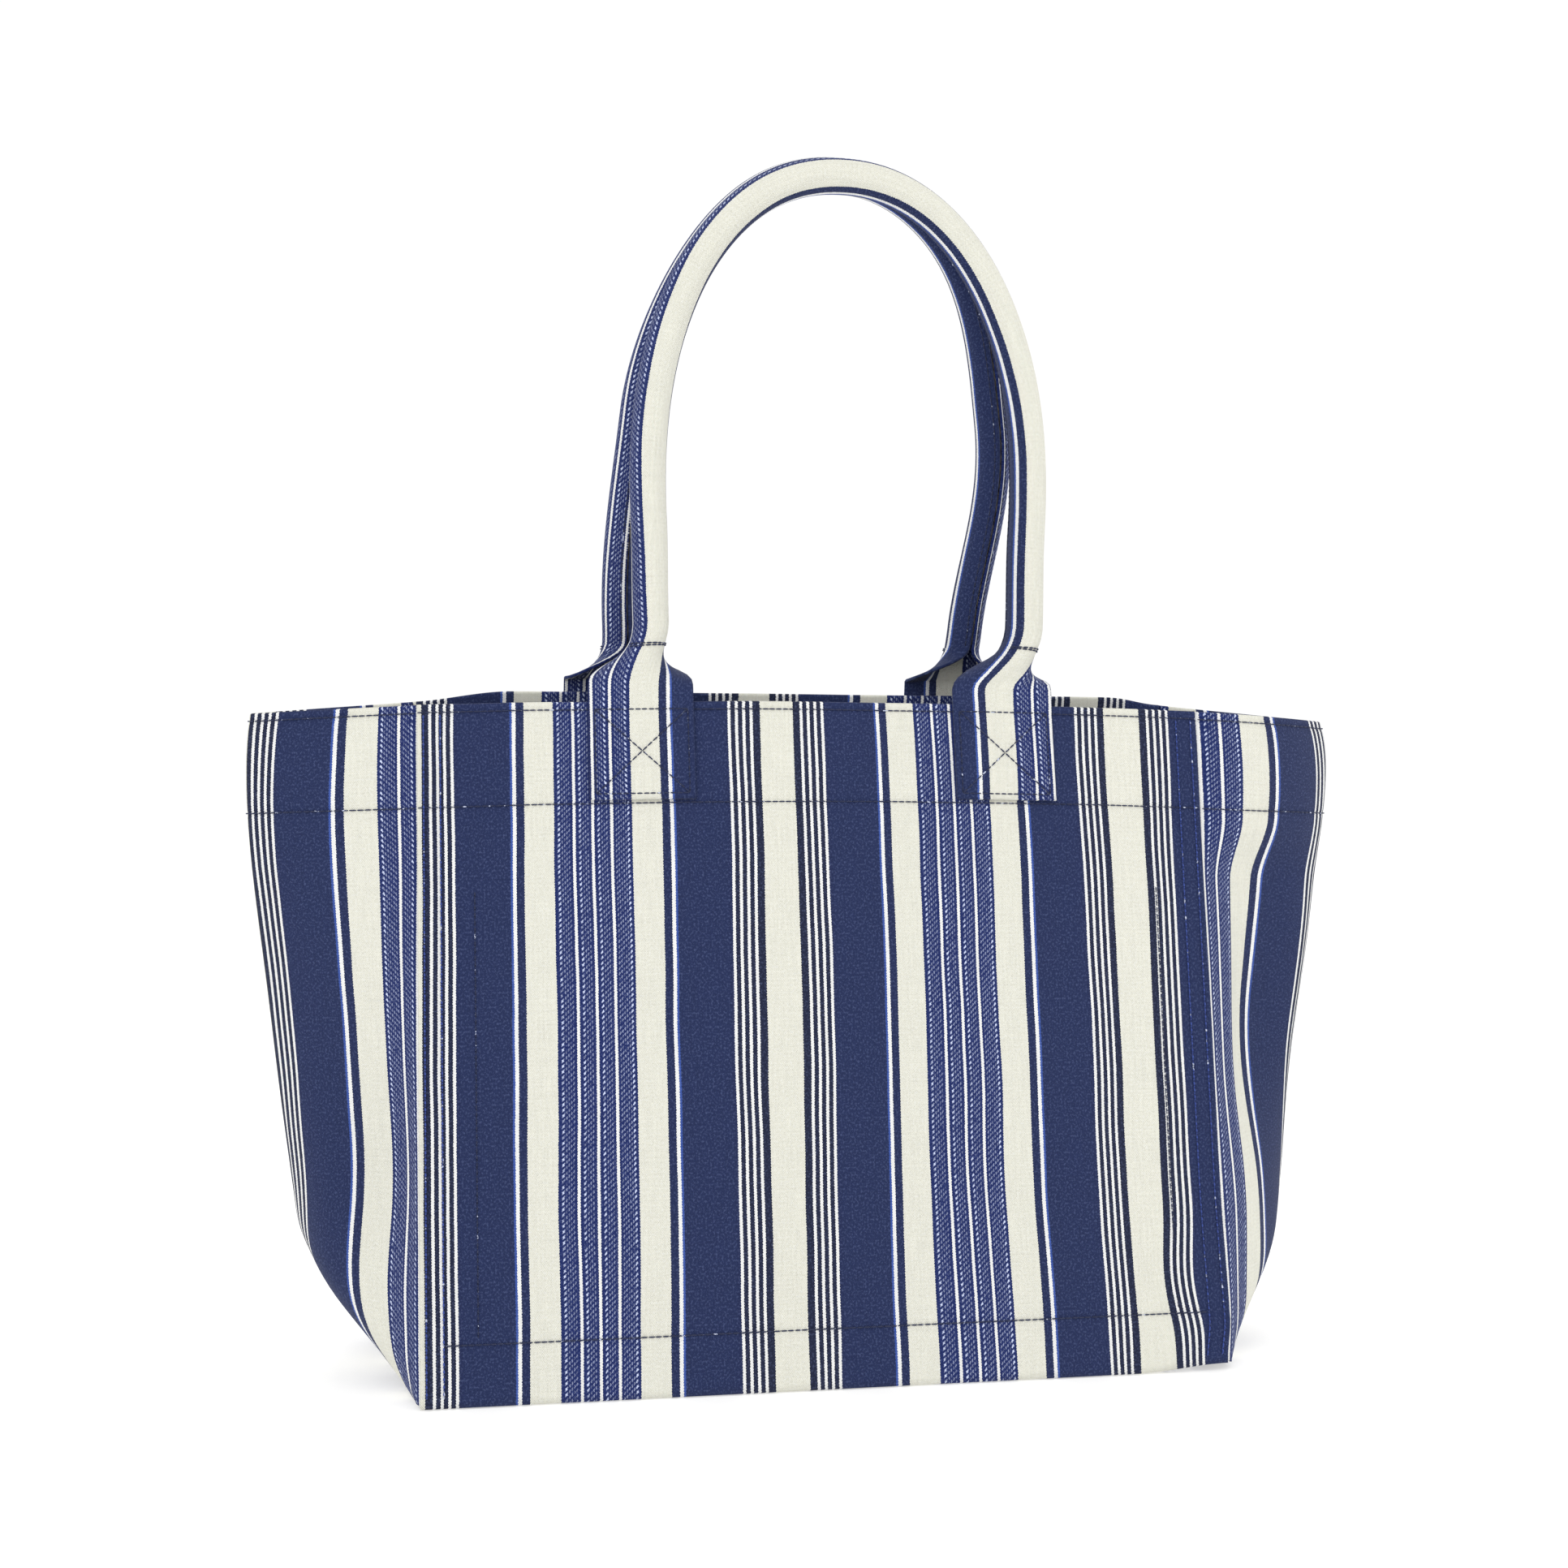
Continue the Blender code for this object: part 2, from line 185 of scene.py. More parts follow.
TOP_SLANTS = {-1: 0.0, 1: 0.0060}  # and how much further again by its shoulders
TOP_LIFTS = {-1: 0.0, 1: 0.005}
FOOT_SPREADS = {-1: 0.003, 1: 0.0}  # and how far its feet spread above the tabs
TAB_SHIFTS = {(-1, -1): 0.0, (-1, 1): 0.0030, (1, -1): -0.0060, (1, 1): -0.0085}  # each (side, hand)
STRIP_ROW = 0.0025
ROPE = 0.0064
ROPE_LAY = 0.016  # length of one strand's share of a turn
ROPE_CORNERS = 18
ROPE_START = 0.004  # above the bar tack
STRAND_DEPTH = 0.10  # of the grooves between the strands, as a share of the rope's radius
TACK_UP = 0.0235
TACK_HALF = 0.013
TACK_STITCH = 0.0030
TACK_THREAD = 0.0004
TACK_SPREAD = 0.0007
HINGES = {
    side: Vector(next(j for j in frame["joints"] if j["name"] == f"{word}_handle_swing")["pos_m"])
    for word, side in SIDES
}

# Camera, floor and lights
AZIMUTH = radians(-11.5)
ELEVATION = radians(1.4)
ROLL = radians(0.4)
DISTANCE = 1.2
TARGET = Vector((-0.013, 0, 0.289))
LENS = 53.9
SENSOR = 36
FLOOR_HALF = 6.0
WORLD_STRENGTH = 1.02
LIGHT_SIZE = 1.6
LIGHT_AIM = Vector((0, 0, 0.25))
LIGHTS = (("key", (-1.6, -2.2, 2.2), 16), ("fill", (1.8, -1.4, 1.4), 6), ("back", (0.3, 2.0, 2.0), 8))


def smooth(share):
    """Turns a share from 0 to 1 into one that starts and ends gently."""
    share = min(max(share, 0), 1)
    return share * share * (3 - 2 * share)


def steps(start, end, size, around=()):
    """Values from start to end about this far apart, and closer around the places where stitches pull."""
    count = max(round(abs(end - start) / size), 1)
    values = [start + (end - start) * i / count for i in range(count + 1)]
    low, high = min(start, end), max(start, end)
    for place in around:
        close = [place + PINCH_WIDTH * k for k in PINCH_POINTS]
        values = [v for v in values if abs(v - place) > PINCH_WIDTH * 1.8 or v in (start, end)]
        values += [v for v in close if low < v < high]
    return sorted(set(values), reverse=end < start)


def hump(value, centre, width, size=1.0):
    """A smooth hump this high, and about this wide on each side of its centre."""
    return size * exp(-(((value - centre) / width) ** 2))


def pinch(distance):
    """How far a row of stitches pulls, from 0 to 1, at this distance from it."""
    return exp(-((distance / PINCH_WIDTH) ** 2))


def ripple(a, b, seed, size):
    """A smooth random wave from -1 to 1."""
    return noise.noise(Vector((a / size, b / size, seed * 7.31)))


# Surfaces -----------------------------------------------------------------------------------------


def panel_wave(side, x, rise):
    """How far a panel stands out from its flat plane. It is nothing at the seams and at the base."""
    seam = smooth((HALF_WIDTH - 0.012 - abs(x)) / 0.05)
    base = smooth(rise / 0.06)
    belly = BELLY * sin(pi * min(rise / PANEL_RISE, 1)) * cos(pi * x / HALF_WIDTH / 2)
    waves = sum(high * ripple(x, rise * stretch, side + seed, long) for high, stretch, seed, long in WAVES)
    return seam * base * (belly + waves)


def panel_pinch(x, rise):
    """How far the rows of stitches pull a panel in."""
    rows = sum(pinch(rise - height) for height in HEM_HEIGHTS.values()) + pinch(rise - BASE_ROW)
    seams = sum(pinch(HALF_WIDTH - abs(x) - row) for row in SEAM_ROWS)
    return SEAM_PINCH * min(rows + seams, 1.2)


def corner_lift(x):
    """How far the bottom edge curves up towards the right end."""
    return CORNER_LIFT * smooth(1 - (HALF_WIDTH - x) / 0.05)


def seam_draw(height):
    """How far the right seams are drawn in, at a height from 0 to 1."""
    return SEAM_DRAW * smooth(height / 0.3) + FOOT_DRAW * (1 - smooth(height / 0.08))


def stripe_drift(x, rise):
    """How far to the right of its flat place the front panel's cloth lies, as it was eased when sewn."""
    low = 1 - smooth(rise / 0.12)
    middle = hump(x, 0.005, 0.045, MIDDLE_DRIFT)
    end = 1 - hump(rise, 0.045, 0.025)
    drift = middle + LOW_DRIFT * low * smooth((x - 0.02) / 0.05)
    return drift + SEAM_DRIFT * end * smooth((x - 0.145) / 0.03)


def panel_place(side, x, rise, out=0.0):
    """A point of a panel: across the bag, up its slope and out from it."""
    top = smooth(rise / PANEL_RISE)
    bend = (x / HALF_WIDTH) ** 2
    lifted = rise + top * (RIM_CROWN - (RIM_CROWN + RIM_DROP) * bend)
    if side > 0:
        hand = -1 if x < 0 else 1
        start = LIFT_ENDS[hand]
        end = smooth((abs(x) - start) / (HALF_WIDTH - start))
        lifted += top * BACK_LIFT * ((1 + 0.5 * bend) * (1 - end) + end * SEAM_LIFTS[hand])
    lifted += corner_lift(x) * smooth(1 - rise / 0.03)
    out += panel_wave(side, x, rise)
    x -= seam_draw(rise / PANEL_RISE) * smooth((x - 0.13) / (HALF_WIDTH - 0.13))
    y = BASE_DEPTH / 2 - lifted * PANEL_LEAN + out * UPRIGHT
    return Vector((x, side * y, lifted * UPRIGHT + out * PANEL_LEAN))


def turned_over(along, full, gap):
    """Turns a length along a hemmed sheet into (rise, out): up the face, over the rim and down inside."""
    over = pi * gap / 2
    if along <= full:
        return along, 0.0
    if along < full + over:
        turn = (along - full) / over * pi
        return full + gap / 2 * sin(turn), -gap / 2 * (1 - cos(turn))
    return full - (along - full - over), -gap


def panel_sheet(side, x, along):
    """A panel with its hem, which lies one layer deeper where it passes behind the seam allowances."""
    rise, out = turned_over(along, PANEL_RISE, LAP)
    if along <= PANEL_RISE:
        return panel_place(side, x, rise, -panel_pinch(x, rise))
    over_allowance = smooth((abs(x) - (HALF_WIDTH - SEAM_ALLOWANCE - 0.008)) / 0.006)
    inside = smooth((along - PANEL_RISE) / 0.006)
    return panel_place(side, x, rise, out - over_allowance * inside * LAP)


@lru_cache(maxsize=None)
def apex():
    """How far out and how high the two creases of a gusset meet."""
    along = -(BASE_DEPTH / 2 - APEX_RISE * PANEL_LEAN)
    height = APEX_RISE * UPRIGHT
    high = (APEX_RISE**2 + along**2 + height**2 - (GUSSET_WIDTH / 2) ** 2) / (2 * height)
    return sqrt(APEX_RISE**2 - high**2), high


def folded_gusset(hand, across, rise):
    """The gusset as sharply folded card: in a V above the apex, and boxed to the base below it."""
    half = GUSSET_WIDTH / 2
    near = min(across, GUSSET_WIDTH - across)
    apex_out, apex_z = apex()
    z = rise * UPRIGHT - RIM_DROP * smooth(rise / PANEL_RISE)
    seam = panel_place(-1, hand * HALF_WIDTH, rise, -LAP)
    if z <= apex_z:
        share = z / apex_z
        x = HALF_WIDTH + apex_out * share
        corner = Vector((hand * x, -(BASE_DEPTH / 2 - LAP) * (1 - share), z))
        reach = max(half * share, 1e-6)
        if near <= reach:
            point = seam.lerp(corner, near / reach)
        else:
            point = corner.lerp(Vector((hand * x, 0, z)), (near - reach) / (half - reach))
    else:
        share = (z - apex_z) / (RIM_Z - apex_z)
        x = HALF_WIDTH + apex_out + (RIM_OUT - apex_out) * share
        point = seam.lerp(Vector((hand * x, 0, z - RIM_SAG * share)), near / half)
    if across > half:
        point.y = -point.y
        point.z += BACK_LIFT * SEAM_LIFTS[hand] * smooth(rise / PANEL_RISE) * (1 - near / half)
    return point


def gusset_hollow(hand, near):
    """The hollow beside a seam, from 0 at the seam to 0 at the middle fold. The right one is steeper."""
    if hand < 0:
        return 9.5 * near * (1 - near) ** 3
    return smooth((near - 0.19) / 0.22) * (1 - smooth((near - 0.42) / 0.5))


def gusset_bulge(hand, near, height):
    """Both gussets bulge low down, and the right one at its top too: (sideways, inward)."""
    if hand < 0:
        return hump(height, 0.16, 0.10, 0.005) * sin(pi * near), 0
    high = smooth((height - 0.74) / 0.10) * sin(pi * near**0.7)
    low = hump(height, 0.22, 0.15) * sin(pi * near**0.75)
    return 0.0035 * high + 0.0075 * low, -0.0095 * high


def gusset_bow(hand, height):
    """How far the middle fold stands out from its straight line."""
    if hand < 0:
        return MIDDLE_BOW * (1 - abs(2 * height - 1) ** 5) * smooth(height / 0.25)
    return MIDDLE_BOW * (1 - abs(2 * height - 1) ** 9) - hump(height, 0.40, 0.15, 0.0030)


@lru_cache(maxsize=None)
def soft_gusset(hand, across, rise):
    """The same gusset with its folds rounded, its sides hollow beside the seams, and its waves."""
    height = rise / PANEL_RISE
    spread = FOLD_SOFTNESS + hump(height, *LOW_SOFTNESS[hand])
    spread = min(spread, across, GUSSET_WIDTH - across)
    climb = APEX_SOFTNESS * (1 - smooth((height - 0.3) / 0.3))
    climb = max(min(climb, rise - GUSSET_LIFT, PANEL_RISE - rise), 0)
    point = Vector((0, 0, 0))
    shares = (-1, -0.5, 0, 0.5, 1)
    for i in shares:
        for j in shares:
            point += folded_gusset(hand, across + i * spread, rise + j * climb)
    point /= len(shares) ** 2

    near = min(across, GUSSET_WIDTH - across) / (GUSSET_WIDTH / 2)
    face = -1 if across < GUSSET_WIDTH / 2 else 1
    hollow = hump(height, *HOLLOWS[hand]) * gusset_hollow(hand, near)
    inward = Vector((-hand * 0.30, -face * 0.95, 0))
    waves = 0.0028 * ripple(across, rise * 0.7, hand + 21, 0.055) * min(near * 4, 1) * smooth(height * 5)
    waves *= 1 - 0.6 * smooth((height - 0.8) / 0.2)
    bow = (gusset_bow(hand, height) + spread * 0.5) * smooth(near * 1.3)
    sideways, pushed = gusset_bulge(hand, near, height)
    return point + inward * (hollow + waves) + Vector((hand * (bow + sideways), -face * pushed, 0))


@lru_cache(maxsize=None)
def gusset_normal(hand, across, rise):
    step = NORMAL_STEP
    left, right = max(across - step, 0), min(across + step, GUSSET_WIDTH)
    low, high = max(rise - step, GUSSET_LIFT), min(rise + step, PANEL_RISE)
    sideways = soft_gusset(hand, right, rise) - soft_gusset(hand, left, rise)
    upward = soft_gusset(hand, across, high) - soft_gusset(hand, across, low)
    return (sideways.cross(upward) * hand).normalized()


def gusset_place(hand, across, rise, out=0.0):
    """A point of a gusset: across it from the front seam, up it and out from it."""
    return soft_gusset(hand, across, rise) + gusset_normal(hand, across, rise) * out


def gusset_sheet(hand, across, along):
    """A gusset with its hem."""
    rise, out = turned_over(along, PANEL_RISE, LAP)
    if along <= PANEL_RISE:
        rows = sum(pinch(rise - height) for height in HEM_HEIGHTS.values())
        return gusset_place(hand, across, rise, -SEAM_PINCH * rows)
    over_rim = max(rise - PANEL_RISE, 0)
    return gusset_place(hand, across, min(rise, PANEL_RISE), out) + Vector((0, 0, over_rim))


# Handle strips ------------------------------------------------------------------------------------


@lru_cache(maxsize=None)
def arch():
    """The handle's line from hinge to hinge, as points (x, up) in its plane, and the length up to each."""
    half = []
    for i in range(31):
        up = ARCH_START * i / 31
        half.append((-LEG_X - (ARCH_X - LEG_X) * smooth(up / ARCH_START), up))
    for i in range(121):
        turn = pi / 2 * (i / 120) ** 1.35
        x = -ARCH_X * cos(turn) ** (2 / ARCH_POWER)
        half.append((x, ARCH_START + (ARCH_TOP - ARCH_START) * sin(turn) ** (2 / ARCH_POWER)))
    points = half + [(-x, up) for x, up in reversed(half[:-1])]
    lengths = [0.0]
    for a, b in zip(points, points[1:]):
        lengths.append(lengths[-1] + hypot(b[0] - a[0], b[1] - a[1]))
    return points, lengths


def arch_at(length):
    """The point (x, up) this far along the arch."""
    points, lengths = arch()
    i = min(max(bisect_right(lengths, length) - 1, 0), len(points) - 2)
    share = (length - lengths[i]) / (lengths[i + 1] - lengths[i])
    a, b = points[i], points[i + 1]
    return a[0] + (b[0] - a[0]) * share, a[1] + (b[1] - a[1]) * share


def arch_heading(length):
    a, b = arch_at(max(length - 0.004, 0)), arch_at(min(length + 0.004, arch()[1][-1]))
    return Vector((b[0] - a[0], b[1] - a[1])).normalized()


def strip_length():
    return arch()[1][-1] + 2 * TAB_LENGTH


def strip_section(across, up, out):
    """Where a point across the strip lies in its cross-section, as (sideways, back), this far up a leg."""
    closed = smooth(up / FUNNEL)
    curl = 0.02 + closed * (STRIP_HALF / TUBE - 0.02)  # half of the whole turn, in radians
    radius = STRIP_HALF / curl
    turn = across / radius
    limit = TUBE_TURN
    beyond = max(abs(turn) - limit, 0) * radius
    turn = min(max(turn, -limit), limit)
    sideways = (radius + out) * sin(turn)
    back = radius - (radius + out) * cos(turn)
    if beyond:
        sign = 1 if across > 0 else -1
        sideways += sign * beyond * cos(limit)
        gap = TUBE_GAP + out
        if sideways * sign < gap:
            sideways = sign * gap
        back += beyond * max(sin(limit), 0.75)
    return sideways, back


def strip_place(side, along, across, out=0.0):
    """A point of a handle strip: along it from the left tab's lower edge, across it, and out."""
    total = strip_length()
    mirrored = along > total / 2
    hand = 1 if mirrored else -1
    near_end = total - along if mirrored else along
    above = near_end - TAB_LENGTH
    on_panel = None
    if above < TAB_BLEND:
        rise = PANEL_RISE + HINGE_OVER_RIM + above
        x = hand * (LEG_X - across) + TAB_SHIFTS[side, hand]
        on_panel = panel_place(side, x, rise, TAB_OUT + out - tab_pinch(near_end, across))
        if above <= 0:
            return on_panel
    length = along - TAB_LENGTH
    x, up = arch_at(length)
    heading = arch_heading(length)
    sideways = Vector((heading.y, -heading.x))
    reach, back = strip_section(across, above, out)
    reach, back = twisted(reach, back, side, length / arch()[1][-1], above)
    lean = Vector((0, -side * sin(HANDLE_LEAN), cos(HANDLE_LEAN)))
    outward = Vector((0, side * cos(HANDLE_LEAN), sin(HANDLE_LEAN)))
    wander = handle_wander(side, x, up)
    x += handle_sway(side, x, up)
    up += TOP_LIFTS[side] * smooth((up - 0.08) / 0.16)
    free = (
        HINGES[side]
        + Vector((1, 0, 0)) * (x + sideways.x * reach)
        + lean * (up + sideways.y * reach)
        - outward * (back - wander)
    )
    return free if on_panel is None else on_panel.lerp(free, smooth(above / TAB_BLEND))


def twisted(reach, back, side, share, above):
    """Turns a cross-section about the tube's middle, as the tube wasn't quite straight when it was sewn."""
    start, end = TWISTS[side]
    turn = (start + (end - start) * smooth(share)) * smooth(above / FUNNEL)
    deep = back - TUBE
    return reach * cos(turn) - deep * sin(turn), TUBE + reach * sin(turn) + deep * cos(turn)


def handle_sway(side, x, up):
    """How far a handle leans sideways, with its tabs and between them."""
    share = smooth(0.5 + 0.5 * x / LEG_X)
    tabs = TAB_SHIFTS[side, -1] * (1 - share) + TAB_SHIFTS[side, 1] * share
    foot = FOOT_SPREADS[side] * x / LEG_X * smooth(up / 0.02) * (1 - smooth((up - 0.025) / 0.06))
    sway = SWAYS[side] * smooth(up / 0.035)
    sway += SLANTS[side] * smooth((up - 0.03) / 0.11) + TOP_SLANTS[side] * smooth((up - 0.14) / 0.10)
    return tabs + foot + sway


def handle_wander(side, x, up):
    """The handle's own slight waves, out of its plane."""
    return 0.0025 * ripple(x, up, side + 31, 0.09) * smooth((up - 0.03) / 0.08)


def tab_pinch(near_end, across):
    """How far the box of stitches pulls a tab in."""
    rows = pinch(near_end - TAB_ROW) + pinch(near_end - (HEM - HEM_ROW))
    rows += pinch(STRIP_HALF - TAB_ROW - abs(across))
    return TAB_PINCH * min(rows, 1) if near_end < HEM else 0


# Building meshes ----------------------------------------------------------------------------------


def finish_piece(name, mesh, material, body=None, thickness=None):
    """Links a mesh, smooths its shading, gives it thickness, and makes it ride on its body."""
    mesh.materials.append(material)
    mesh.polygons.foreach_set("use_smooth", [True] * len(mesh.polygons))
    obj = bpy.data.objects.new(name, mesh)
    bpy.context.scene.collection.objects.link(obj)
    if thickness:
        solidify = obj.modifiers.new("thickness", "SOLIDIFY")
        solidify.thickness = thickness
        solidify.offset = 0
    if body:
        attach(obj, body)
    return obj


def tube_faces(first, rings, corners):
    """The sides of a tube whose points lie ring after ring, from this first point on."""
    return [
        (a + k, a + (k + 1) % corners, a + corners + (k + 1) % corners, a + corners + k)
        for a in range(first, first + (rings - 1) * corners, corners)
        for k in range(corners)
    ]


def sheet_mesh(name, place, columns, rows, cut=(0.0, 0.0), drift=None):
    """A grid over place(column, row). Its UVs are the two lengths, shifted by where the piece was cut."""
    grid = [(column, row) for row in rows for column in columns]
    points = [place(column, row) for column, row in grid]
    lengths = [(column - (drift(column, row) if drift else 0), row) for column, row in grid]
    wide = len(columns)
    faces = [
        (r * wide + c, r * wide + c + 1, (r + 1) * wide + c + 1, (r + 1) * wide + c)
        for r in range(len(rows) - 1)
        for c in range(wide - 1)
    ]
    mesh = bpy.data.meshes.new(name)
    mesh.from_pydata(points, [], faces)
    uv = mesh.uv_layers.new(name="cloth")
    for loop in mesh.loops:
        u, v = lengths[loop.vertex_index]
        uv.data[loop.index].uv = (u + cut[0], v + cut[1])
    mesh.update()
    return mesh


class Tubes:
    """Collects short tapered tubes, such as stitches, into one mesh."""

    def __init__(self):
        self.points = []
        self.faces = []

    def add(self, line, radius, ends=0.45, corners=6):
        """A tube along a line of points, its first and last rings narrower than the rest."""
        first = len(self.points)
        count = len(line)
        for i, point in enumerate(line):
            along = line[min(i + 1, count - 1)] - line[max(i - 1, 0)]
            turn = along.normalized().to_track_quat("Z", "Y")
            size = radius * (ends if i in (0, count - 1) else 1)
            for k in range(corners):
                angle = 2 * pi * k / corners
                self.points.append(point + turn @ Vector((size * cos(angle), size * sin(angle), 0)))
        self.faces += tube_faces(first, count, corners)
        self.faces.append(tuple(first + k for k in reversed(range(corners))))
        self.faces.append(tuple(first + (count - 1) * corners + k for k in range(corners)))

    def mesh(self, name):
        mesh = bpy.data.meshes.new(name)
        mesh.from_pydata(self.points, [], self.faces)
        mesh.update()
        return mesh


def stitch_row(tubes, place, start, end, pitch, radius):
    """A row of stitches from start to end, in the surface's own two lengths. Each one's ends dip in."""
    length = hypot(end[0] - start[0], end[1] - start[1])
    count = max(round(length / pitch), 1)
    covered = 1 - STITCH_GAP / pitch
    for i in range(count):
        shift = random.uniform(-STITCH_SHIFT, STITCH_SHIFT)
        line = []
        for k in range(5):
            share = (i + 0.5 + shift + covered * (k / 4 - 0.5)) / count
            a = start[0] + (end[0] - start[0]) * share
            b = start[1] + (end[1] - start[1]) * share
            height = CANVAS / 2 - 0.0001 + radius * 1.3 * sin(pi * k / 4)
            line.append(place(a, b, height))
        tubes.add(line, radius)


def make_rows(name, place, rows, thread, body="bag", pitch=STITCH, radius=THREAD):
    """One piece that holds these rows of stitches, each given as its start and its end."""
    tubes = Tubes()
    for start, end in rows:
        stitch_row(tubes, place, start, end, pitch, radius)
    return finish_piece(name, tubes.mesh(name), thread, body)


# Materials ----------------------------------------------------------------------------------------


def tone(red, green, blue):
    """A colour given as 0 to 255 on a screen, as the linear values that shaders take."""
    values = [c / 255 for c in (red, green, blue)]
    return (*[c / 12.92 if c <= 0.04045 else ((c + 0.055) / 1.055) ** 2.4 for c in values], 1)


CREAM = tone(226, 225, 212)
WHITE = tone(238, 238, 236)
NAVY = tone(35, 46, 85)
DEEP_NAVY = tone(33, 43, 82)
BLACK_BLUE = tone(30, 36, 62)
FRINGE = tone(58, 84, 160)
BAND = tone(25, 40, 97)
DOT = tone(206, 216, 244)
FLECK = tone(150, 166, 214)
FLUFF = tone(190, 198, 222)

# From the middle of a cream stripe to the middle of a blue group: (width in mm, colour)
STRIPES = (
    (8.0, CREAM),
    (3.4, BLACK_BLUE),
    (1.4, WHITE),
    (2.2, BLACK_BLUE),
    (1.4, WHITE),
    (2.2, BLACK_BLUE),
    (1.4, WHITE),
    (2.0, BLACK_BLUE),
    (1.5, WHITE),
    (1.8, DEEP_NAVY),
    (24.65, NAVY),
    (1.2, FRINGE),
    (1.9, WHITE),
    (3.7, DEEP_NAVY),
    (14.6, CREAM),
    (9.0, BAND),
    (1.75, WHITE),
    (7.7, BAND),
    (0.8, WHITE),
)
GROUP_START = sum(width for width, _ in STRIPES[:15])

# How strongly the light dots show across a whole blue group: (mm from its start, strength).
# 1 is a column of big dots.
DOTS = (
    (0.0, 0.0),
    (1.9, 0.0),
    (2.1, 1.0),
    (2.9, 1.0),
    (3.1, 0.0),
    (3.4, 0.42),
    (8.2, 0.34),
    (8.5, 0.0),
    (12.3, 0.0),
    (12.5, 1.0),
    (13.3, 1.0),
    (13.5, 0.0),
    (13.9, 0.42),
    (17.5, 0.42),
    (17.8, 0.0),
    (21.5, 0.0),
    (21.7, 1.0),
    (22.5, 1.0),
    (22.7, 0.0),
    (23.1, 0.42),
    (26.8, 0.42),
    (27.1, 0.0),
    (29.9, 0.0),
    (30.1, 0.42),
    (35.6, 0.42),
    (35.9, 0.0),
    (36.1, 1.0),
    (37.0, 1.0),
    (37.2, 0.0),
    (38.5, 0.0),
)
DOT_COLUMN = 0.00115
DOT_START = 0.62  # where the first column of dots lies, as a share of the distance between two
DOT_RUNG = 0.0026
DOT_SLANT = 0.40  # how much lower each column's dots lie than its neighbour's, as a share of DOT_RUNG


class Graph:
    """A material's nodes, written as calls that return sockets."""

    def __init__(self, name):
        self.material = bpy.data.materials.new(name)
        self.material.use_nodes = True
        self.tree = self.material.node_tree
        self.shader = self.tree.nodes["Principled BSDF"]

    def node(self, kind, inputs=(), **settings):
        node = self.tree.nodes.new(kind)
        for key, value in settings.items():
            setattr(node, key, value)
        for key, value in dict(inputs).items():
            self.feed(node.inputs[key], value)
        return node

    def feed(self, socket, value):
        if isinstance(value, bpy.types.NodeSocket):
            self.tree.links.new(value, socket)
        else:
            socket.default_value = value

    def math(self, operation, *values, clamp=False):
        node = self.tree.nodes.new("ShaderNodeMath")
        node.operation = operation
        node.use_clamp = clamp
        for socket, value in zip(node.inputs, values):
            self.feed(socket, value)
        return node.outputs[0]

    def mix(self, share, first, second, blend="MIX"):
        node = self.node("ShaderNodeMix", data_type="RGBA", blend_type=blend)
        self.feed(node.inputs["Factor"], share)
        self.feed(node.inputs["A"], first)
        self.feed(node.inputs["B"], second)
        return node.outputs[2]

    def noise(self, vector, scale, detail=2.0):
        settings = {"Vector": vector, "Scale": scale, "Detail": detail}
        return self.node("ShaderNodeTexNoise", settings).outputs["Fac"]

    def vector(self, x, y, z=0.0):
        return self.node("ShaderNodeCombineXYZ", {"X": x, "Y": y, "Z": z}).outputs[0]

    def surface(self, **inputs):
        for key, value in inputs.items():
            self.feed(self.shader.inputs[key.replace("_", " ")], value)

    def bump(self, height, distance, strength=1.0):
        node = self.node("ShaderNodeBump", {"Height": height, "Distance": distance, "Strength": strength})
        self.feed(self.shader.inputs["Normal"], node.outputs[0])


def fill_ramp(graph, position, stops, interpolation):
    """A colour ramp with these (position from 0 to 1, colour) stops."""
    node = graph.node("ShaderNodeValToRGB", {"Fac": position})
    ramp = node.color_ramp
    ramp.interpolation = interpolation
    ramp.elements.remove(ramp.elements[1])
    for i, (place, colour) in enumerate(stops):
        stop = ramp.elements[0] if i == 0 else ramp.elements.new(place)
        stop.position = place
        stop.color = colour
    return node.outputs["Color"]


def stripe_colours(graph, position):
    """The stripes' colours, at a position from 0 to 1 across half a repeat."""
    total = sum(width for width, _ in STRIPES)
    edge = 0.0
    stops = []
    for width, colour in STRIPES:
        stops.append((edge / total, colour))
        edge += width
    return fill_ramp(graph, position, stops, "CONSTANT")


def scaled(g, across, along, x, y):
    """The place on the cloth, as its two lengths multiplied by x and y."""
    return g.vector(g.math("MULTIPLY", across, x), g.math("MULTIPLY", along, y))


